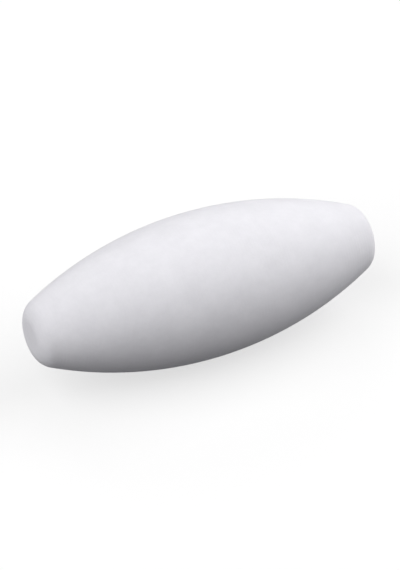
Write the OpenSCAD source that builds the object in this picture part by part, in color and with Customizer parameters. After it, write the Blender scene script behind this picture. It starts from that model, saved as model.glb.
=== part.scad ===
// Oval magnetic stir bar: a rod magnet sealed in a seamless fluoropolymer jacket.
// The bar lies on its belly along X. The origin is the point where the belly meets the vessel's floor.

/* [Jacket] */
// Length over both ends
bar_length = 25; // [22:0.5:30]
// Diameter at the middle of the belly
belly_d = 10; // [8.5:0.1:13]
// Diameter of the flat left on each end by the parting cut
end_flat_d = 2; // [1:0.1:3]
// Radius of the round between the end flat and the belly
end_round_r = 1.5; // [0.5:0.05:2]

/* [Magnet] */
// Length of the rod magnet
magnet_length = 16; // [10:0.5:18]
// Diameter of the rod magnet
magnet_d = 5; // [3:0.1:5.5]
// Broken edge on both ends of the rod magnet
magnet_chamfer = 0.4; // [0.1:0.05:0.8]
// Gap between the magnet and the jacket moulded over it
moulding_gap = 0.02; // [0.01:0.01:0.1]

/* [Hidden] */
$fn = 180;

half_length = bar_length / 2;

// Centre of the end round, as [distance from the long axis, distance along it]
round_centre = [end_flat_d / 2, half_length - end_round_r];

// The belly is one long arc, centred beyond the long axis, that runs smoothly into both end rounds
belly_drop = belly_d / 2 - round_centre.x;
belly_arc_r = (belly_drop ^ 2 + round_centre.y ^ 2 - end_round_r ^ 2) / (2 * (belly_drop - end_round_r));
belly_centre = [belly_d / 2 - belly_arc_r, 0];

// A point on the line through both arc centres, which crosses the outline where the two arcs meet
past_tangent = 2 * round_centre - belly_centre;

// Stands a form turned about Z down on its belly, with its long axis along X
module lay_down() {
    translate([0, 0, belly_d / 2]) rotate([0, 90, 0]) children();
}

// Half outline of the belly, from the long axis out to the arc
module belly_profile() {
    intersection() {
        translate(belly_centre) circle(r = belly_arc_r);
        polygon([belly_centre, past_tangent, [past_tangent.x, -past_tangent.y]]);
        translate([0, -half_length]) square([belly_d, bar_length]);
    }
}

// The rounded rim of one end, between the belly arc and the end flat
module end_round_profile() {
    intersection() {
        translate(round_centre) circle(r = end_round_r);
        polygon([round_centre, past_tangent, [round_centre.x, past_tangent.y]]);
    }
}

// The whole oval, turned about its long axis
module oval() {
    rotate_extrude() {
        belly_profile();
        end_round_profile();
        mirror([0, 1]) end_round_profile();
        translate([0, -half_length]) square([round_centre.x, bar_length]);
    }
}

// The rod magnet with broken edges, grown by a gap on every side
module rod(gap) {
    r = magnet_d / 2 + gap;
    end = magnet_length / 2 + gap;
    rotate_extrude()
        polygon([
            [0, -end],
            [r - magnet_chamfer, -end],
            [r, -end + magnet_chamfer],
            [r, end - magnet_chamfer],
            [r - magnet_chamfer, end],
            [0, end]
        ]);
}

// White fluoropolymer, moulded around the magnet as one seamless piece
module jacket() {
    color("#ECECF0")
        lay_down()
            difference() {
                oval();
                rod(moulding_gap);
            }
}

// Cast alloy rod, magnetised from end to end
module magnet_core() {
    color("#8C8C8E")
        lay_down()
            rod(0);
}

jacket();
magnet_core();
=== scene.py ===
"""An oval magnetic stir bar lying on a pale floor under soft studio light."""
import math

import bpy
import numpy as np
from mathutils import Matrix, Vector


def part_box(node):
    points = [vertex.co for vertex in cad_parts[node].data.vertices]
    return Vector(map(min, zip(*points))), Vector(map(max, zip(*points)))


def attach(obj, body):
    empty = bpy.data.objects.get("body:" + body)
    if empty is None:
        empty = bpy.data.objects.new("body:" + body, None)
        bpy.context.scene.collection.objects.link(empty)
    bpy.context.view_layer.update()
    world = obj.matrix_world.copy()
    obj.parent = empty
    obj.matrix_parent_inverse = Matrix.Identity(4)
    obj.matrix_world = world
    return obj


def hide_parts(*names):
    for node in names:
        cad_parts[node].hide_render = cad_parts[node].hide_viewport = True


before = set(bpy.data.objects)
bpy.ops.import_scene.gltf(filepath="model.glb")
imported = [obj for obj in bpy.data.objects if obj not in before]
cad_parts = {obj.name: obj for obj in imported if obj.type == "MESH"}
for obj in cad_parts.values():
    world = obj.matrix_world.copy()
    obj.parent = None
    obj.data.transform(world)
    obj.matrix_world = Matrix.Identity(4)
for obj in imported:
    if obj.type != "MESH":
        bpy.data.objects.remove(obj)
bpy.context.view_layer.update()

# Magnet
# The core is a rod of cast aluminium-nickel-cobalt alloy, ground to size and magnetised from end to end.
# The jacket is moulded tight around it, so it needs no other fixing.
MM = 0.001


def linear(hex_colour):
    """Linear red, green, blue and alpha of an sRGB hex colour: each channel through the sRGB curve."""
    channels = np.array([int(hex_colour[k:k + 2], 16) for k in (1, 3, 5)]) / 255
    curved = np.where(channels <= 0.04045, channels / 12.92, ((channels + 0.055) / 1.055) ** 2.4)
    return (*curved.tolist(), 1.0)


def add_node(tree, kind, settings=(), links=()):
    """Adds a node of a kind to a tree. A setting is a property's name, or a socket's name or number, with
    its value, and a link is one of the node's input sockets with the output socket that feeds it."""
    node = tree.nodes.new(kind)
    for name, value in settings:
        if isinstance(name, str) and hasattr(node, name):
            setattr(node, name, value)
        else:
            node.inputs[name].default_value = value
    for name, source in links:
        tree.links.new(source, node.inputs[name])
    return node


# Cast alloy, ground: a dull mid-grey metal with patches of lighter and darker crystals, crossed by fine
# lines round the rod.
alloy_light, alloy_dark = linear("#9A9A9D"), linear("#737376")
alloy_smoothest, alloy_roughest = 0.38, 0.55
casting_grain = 0.6 * MM
grinding_pitch = 0.15 * MM  # real grinding lines lie nearer 0.02 mm apart: drawn coarser so that they show
grinding_depth = 0.005 * MM
WAVE_PERIOD = 2 * math.pi / 20  # a wave texture's distance between bands at a scale of one
NOISE_LOW, NOISE_HIGH = 0.3, 0.7  # most of a noise texture's values lie between these
MIX_A, MIX_B, MIX_RESULT = 6, 7, 2  # a mix node's sockets for colours
alloy = bpy.data.materials.new("cast_magnet_alloy_ground")
alloy.use_nodes = True
tree = alloy.node_tree
tree.nodes.clear()
place = add_node(tree, "ShaderNodeTexCoord").outputs["Object"]
crystals = add_node(
    tree, "ShaderNodeTexNoise", [("Scale", 1 / casting_grain), ("Detail", 4.0)], [("Vector", place)]
)
grey = add_node(
    tree,
    "ShaderNodeMix",
    [("data_type", "RGBA"), (MIX_A, alloy_dark), (MIX_B, alloy_light)],
    [("Factor", crystals.outputs["Fac"])],
)
dullness = add_node(
    tree,
    "ShaderNodeMapRange",
    [
        ("From Min", NOISE_LOW),
        ("From Max", NOISE_HIGH),
        ("To Min", alloy_smoothest),
        ("To Max", alloy_roughest),
    ],
    [("Value", crystals.outputs["Fac"])],
)
scratches = add_node(
    tree,
    "ShaderNodeTexWave",
    [
        ("bands_direction", "X"),
        ("Scale", WAVE_PERIOD / grinding_pitch),
        ("Distortion", 2.0),
        ("Detail", 3.0),
    ],
    [("Vector", place)],
)
scratch_bump = add_node(
    tree,
    "ShaderNodeBump",
    [("Strength", 0.3), ("Distance", grinding_depth)],
    [("Height", scratches.outputs["Fac"])],
)
surface = add_node(
    tree,
    "ShaderNodeBsdfPrincipled",
    [("Metallic", 1.0)],
    [
        ("Base Color", grey.outputs[MIX_RESULT]),
        ("Roughness", dullness.outputs["Result"]),
        ("Normal", scratch_bump.outputs["Normal"]),
    ],
)
add_node(tree, "ShaderNodeOutputMaterial", [], [("Surface", surface.outputs["BSDF"])])
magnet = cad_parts["magnet_core"]
for rod_slot in magnet.material_slots:
    rod_slot.material = alloy

# Jacket
# The white body is fluoropolymer (PTFE) powder pressed around the magnet, sintered to one waxy solid
# and turned on a lathe to a smooth oval. It has no seam and no fastening: it closes over the magnet.
jacket_low, jacket_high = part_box("jacket")
magnet_low, magnet_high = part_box("magnet_core")
half_length = jacket_high.x
belly_r = jacket_high.y
axis_height = (jacket_high.z + jacket_low.z) / 2
end_flat_r = 1.0 * MM
end_round_r = 1.5 * MM
moulding_gap = 0.02 * MM
pocket_half_length = magnet_high.x + moulding_gap
pocket_r = (magnet_high.z - magnet_low.z) / 2 + moulding_gap
pocket_chamfer = 0.4 * MM
facets_around = 192
flat_points, rim_points, belly_points = 12, 24, 220


def arc(centre, radius, start, end, count):
    """Points on a circle, as (distance along the bar, distance from its axis), from one angle to another:
    the centre plus the radius times the angle's sine along the bar and its cosine away from the axis."""
    angle = np.linspace(start, end, count)
    return np.column_stack([centre[0] + radius * np.sin(angle), centre[1] + radius * np.cos(angle)])


def oval_outline():
    """Half outline from the left end's middle to the right end's: a flat, a small arc, the long belly arc,
    and back again. The belly arc's radius is the one that makes it touch both small arcs with no corner."""
    round_x = half_length - end_round_r
    drop = belly_r - end_flat_r
    belly_arc_r = (drop**2 + round_x**2 - end_round_r**2) / (2 * (drop - end_round_r))
    tangent = math.asin(round_x / (belly_arc_r - end_round_r))
    flat_r = np.linspace(0, end_flat_r, flat_points, endpoint=False)
    flat = np.column_stack([np.full(flat_points, half_length), flat_r])
    rim = arc((round_x, end_flat_r), end_round_r, tangent, math.pi / 2, rim_points)
    belly = arc((0, belly_r - belly_arc_r), belly_arc_r, -tangent, tangent, belly_points)
    right_end = np.vstack([rim[1:], flat[::-1]])
    left_end = right_end[::-1] * (-1, 1)
    return np.vstack([left_end, belly, right_end])


def pocket_outline():
    """Half outline of the closed pocket, a rod with broken edges, from its right end to its left, so that
    its faces look into the pocket."""
    corner = pocket_r - pocket_chamfer
    shoulder = pocket_half_length - pocket_chamfer
    right_half = np.array([(pocket_half_length, 0), (pocket_half_length, corner), (shoulder, pocket_r)])
    return np.vstack([right_half, right_half[::-1] * (-1, 1)])


def turned(outline, points_before):
    """Carries a half outline once round the bar's axis: ring i, step j lies at the outline's distance from
    the axis, turned by j parts of a full turn. The outline's two ends are single points that close the
    surface. Gives the points, the faces, which count on from the mesh's points before these, and how far
    along the outline each point lies."""
    rings = outline[1:-1]
    turn = np.linspace(0, 2 * math.pi, facets_around, endpoint=False)
    x, radius = np.repeat(rings, facets_around, axis=0).T
    turns = np.tile(turn, len(rings))
    points = np.column_stack([x, radius * np.cos(turns), axis_height + radius * np.sin(turns)])
    poles = outline[[0, -1], :1] * (1, 0, 0) + (0, 0, axis_height)
    travel = np.append(0, np.cumsum(np.hypot(*np.diff(outline, axis=0).T)))
    travels = np.append(np.repeat(travel[1:-1], facets_around), travel[[0, -1]])
    index = points_before + np.arange(len(points)).reshape(len(rings), facets_around)
    beside = np.roll(index, -1, axis=1)
    quads = np.stack([index[:-1], beside[:-1], beside[1:], index[1:]], axis=-1).reshape(-1, 4)
    first_pole = np.full(facets_around, points_before + len(points))
    fans = np.vstack([
        np.column_stack([first_pole, beside[0], index[0]]),
        np.column_stack([first_pole + 1, index[-1], beside[-1]]),
    ])
    return np.vstack([points, poles]), quads.tolist() + fans.tolist(), travels


outer_points, outer_faces, outer_travel = turned(oval_outline(), 0)
pocket_points, pocket_faces, pocket_travel = turned(pocket_outline(), len(outer_points))
jacket_mesh = bpy.data.meshes.new("jacket_ptfe")
jacket_mesh.from_pydata(np.vstack([outer_points, pocket_points]).tolist(), [], outer_faces + pocket_faces)
jacket_mesh.polygons.foreach_set("use_smooth", [True] * len(outer_faces) + [False] * len(pocket_faces))
tool_travel = jacket_mesh.attributes.new("tool_travel", "FLOAT", "POINT")
tool_travel.data.foreach_set("value", np.append(outer_travel, pocket_travel))
jacket = bpy.data.objects.new("jacket_ptfe", jacket_mesh)
bpy.context.scene.collection.objects.link(jacket)

# White PTFE, turned: a soft, nearly matt white that is a little cool, lets some light in below its surface,
# and shows faint cloudy patches from the sintered powder and very fine rings from the turning tool.
ptfe_light, ptfe_shade = linear("#F6F5FA"), linear("#E1E0E5")
ptfe_ior = 1.35
ptfe_smoothest, ptfe_roughest = 0.72, 0.82
light_share, light_depth = 0.2, 0.8 * MM
powder_patch = 2.5 * MM
powder_grain = 0.2 * MM
grain_height = 0.004 * MM
ring_pitch = 0.24 * MM  # the tool's real feed is nearer 0.1 mm: drawn coarser so that it shows
ring_depth = 0.007 * MM
ring_group = 2.0 * MM
ptfe = bpy.data.materials.new("ptfe_turned_white")
ptfe.use_nodes = True
tree = ptfe.node_tree
tree.nodes.clear()
place = add_node(tree, "ShaderNodeTexCoord").outputs["Object"]
patches = add_node(
    tree,
    "ShaderNodeTexNoise",
    [("Scale", 1 / powder_patch), ("Detail", 5.0), ("Roughness", 0.75)],
    [("Vector", place)],
)
cloud = add_node(
    tree,
    "ShaderNodeMix",
    [("data_type", "RGBA"), (MIX_A, ptfe_shade), (MIX_B, ptfe_light)],
    [("Factor", patches.outputs["Fac"])],
)
mattness = add_node(
    tree,
    "ShaderNodeMapRange",
    [
        ("From Min", NOISE_LOW),
        ("From Max", NOISE_HIGH),
        ("To Min", ptfe_smoothest),
        ("To Max", ptfe_roughest),
    ],
    [("Value", patches.outputs["Fac"])],
)
grain = add_node(
    tree, "ShaderNodeTexNoise", [("Scale", 1 / powder_grain), ("Detail", 2.0)], [("Vector", place)]
)
along_outline = add_node(tree, "ShaderNodeAttribute", [("attribute_name", "tool_travel")])
tool_rings = add_node(
    tree,
    "ShaderNodeTexWave",
    [
        ("bands_direction", "X"),
        ("Scale", WAVE_PERIOD / ring_pitch),
        ("Distortion", 1.5),
        ("Detail", 2.0),
    ],
    [("Vector", along_outline.outputs["Vector"])],
)
uneven = add_node(
    tree,
    "ShaderNodeTexNoise",
    [("noise_dimensions", "1D"), ("Scale", 1 / ring_group), ("Detail", 2.0)],
    [("W", along_outline.outputs["Fac"])],
)
cut = add_node(
    tree,
    "ShaderNodeMath",
    [("operation", "MULTIPLY")],
    [(0, tool_rings.outputs["Fac"]), (1, uneven.outputs["Fac"])],
)
grain_bump = add_node(
    tree,
    "ShaderNodeBump",
    [("Strength", 1.0), ("Distance", grain_height)],
    [("Height", grain.outputs["Fac"])],
)
ring_bump = add_node(
    tree,
    "ShaderNodeBump",
    [("Strength", 1.0), ("Distance", ring_depth)],
    [("Height", cut.outputs["Value"]), ("Normal", grain_bump.outputs["Normal"])],
)
surface = add_node(
    tree,
    "ShaderNodeBsdfPrincipled",
    [
        ("IOR", ptfe_ior),
        ("Subsurface Weight", light_share),
        ("Subsurface Radius", (1.0, 1.0, 1.0)),
        ("Subsurface Scale", light_depth),
    ],
    [
        ("Base Color", cloud.outputs[MIX_RESULT]),
        ("Roughness", mattness.outputs["Result"]),
        ("Normal", ring_bump.outputs["Normal"]),
    ],
)
add_node(tree, "ShaderNodeOutputMaterial", [], [("Surface", surface.outputs["BSDF"])])
jacket_mesh.materials.append(ptfe)
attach(jacket, "root")
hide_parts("jacket")

# Floor
# A wide sheet of matt white paper that the bar lies on. It shows white with the bar's soft shadow, and
# sends only a little light back up, as a sheet in a dim room does.
floor_half = 1.5
paper_bounce, paper_white = linear("#59595B"), linear("#FFFFFF")
shadow_share = 0.35
floor_mesh = bpy.data.meshes.new("paper_floor")
floor_corners = np.array([(-1, -1, 0), (1, -1, 0), (1, 1, 0), (-1, 1, 0)]) * floor_half
floor_mesh.from_pydata(floor_corners.tolist(), [], [(0, 1, 2, 3)])
floor = bpy.data.objects.new("paper_floor", floor_mesh)
bpy.context.scene.collection.objects.link(floor)


def seen_directly(tree):
    """One where a ray comes from the camera, a reflection or through a clear body, and nought elsewhere:
    the greatest of the light path's three flags."""
    path = add_node(tree, "ShaderNodeLightPath")
    mirror = add_node(
        tree,
        "ShaderNodeMath",
        [("operation", "MAXIMUM")],
        [(0, path.outputs["Is Glossy Ray"]), (1, path.outputs["Is Transmission Ray"])],
    )
    return add_node(
        tree,
        "ShaderNodeMath",
        [("operation", "MAXIMUM")],
        [(0, path.outputs["Is Camera Ray"]), (1, mirror.outputs["Value"])],
    ).outputs["Value"]


# Matt white paper: an even white without gloss, on which only the bar's shadow shows.
paper = bpy.data.materials.new("matt_white_paper")
paper.use_nodes = True
tree = paper.node_tree
tree.nodes.clear()
direct = seen_directly(tree)
sheet_colour = add_node(
    tree,
    "ShaderNodeMix",
    [("data_type", "RGBA"), (MIX_A, paper_bounce), (MIX_B, paper_white)],
    [("Factor", direct)],
)
matt = add_node(tree, "ShaderNodeBsdfDiffuse", [], [("Color", sheet_colour.outputs[MIX_RESULT])])
glow = add_node(tree, "ShaderNodeEmission", [("Strength", 1.0)])
glow_share = add_node(
    tree, "ShaderNodeMath", [("operation", "MULTIPLY"), (1, 1 - shadow_share)], [(0, direct)]
)
paper_look = add_node(
    tree,
    "ShaderNodeMixShader",
    [],
    [(0, glow_share.outputs["Value"]), (1, matt.outputs["BSDF"]), (2, glow.outputs["Emission"])],
)
add_node(tree, "ShaderNodeOutputMaterial", [], [("Surface", paper_look.outputs["Shader"])])
floor_mesh.materials.append(paper)

# Light
# A broad soft box stands on each side of the bar, as on a product table, with a weak one behind it.
# Together they light the top of the bar to about the white that its material states.
bar_middle = Vector((0, 0, axis_height))
lamps = {
    "left": {"watts": 2.6, "azimuth": -80, "elevation": 42, "size": 0.6},
    "right": {"watts": 2.87, "azimuth": 80, "elevation": 32, "size": 0.6},
    "behind": {"watts": 0.5, "azimuth": 170, "elevation": 30, "size": 0.3},
}
lamp_distance = 0.5


def direction(azimuth, elevation):
    """Unit vector towards a place round the bar: azimuth nought is in front, and a quarter turn is to its
    right."""
    turn, rise = math.radians(azimuth), math.radians(elevation)
    return Vector((math.sin(turn) * math.cos(rise), -math.cos(turn) * math.cos(rise), math.sin(rise)))


for name, lamp in lamps.items():
    data = bpy.data.lights.new(name, "AREA")
    data.energy, data.size = lamp["watts"], lamp["size"]
    soft_box = bpy.data.objects.new(name, data)
    towards = direction(lamp["azimuth"], lamp["elevation"])
    soft_box.location = bar_middle + towards * lamp_distance
    soft_box.rotation_euler = towards.to_track_quat("Z", "Y").to_euler()
    bpy.context.scene.collection.objects.link(soft_box)

# The room adds a little even light, and looks white where the camera or a reflection sees it.
room_level, room_white = 0.06, 1.0
world = bpy.data.worlds.new("white_room")
bpy.context.scene.world = world
world.use_nodes = True
tree = world.node_tree
tree.nodes.clear()
room_strength = add_node(
    tree,
    "ShaderNodeMapRange",
    [("To Min", room_level), ("To Max", room_white)],
    [("Value", seen_directly(tree))],
)
room = add_node(tree, "ShaderNodeBackground", [], [("Strength", room_strength.outputs["Result"])])
add_node(tree, "ShaderNodeOutputWorld", [], [("Surface", room.outputs["Background"])])
bpy.context.scene.view_settings.view_transform = "Standard"

# Camera
# It looks down on the bar from in front and a little to the left, at the photograph's angle and as far away
# for the bar's size, with a long lens so that the bar fills the picture's width.
view_azimuth, view_elevation = -25.2, 41.0
view_distance = 0.371
picture_w, picture_h = 400, 570
bar_share_of_width = 0.84
camera_data = bpy.data.cameras.new("camera")
camera_data.sensor_width = 36.0
bar_in_view = 2 * half_length * math.cos(math.radians(view_azimuth))
picture_span = bar_in_view / bar_share_of_width * picture_h / picture_w
camera_data.lens = camera_data.sensor_width * view_distance / picture_span
camera_data.clip_start, camera_data.clip_end = 0.01, 10.0
camera = bpy.data.objects.new("camera", camera_data)
camera.location = bar_middle + direction(view_azimuth, view_elevation) * view_distance
camera.rotation_euler = direction(view_azimuth, view_elevation).to_track_quat("Z", "Y").to_euler()
bpy.context.scene.collection.objects.link(camera)
bpy.context.scene.camera = camera
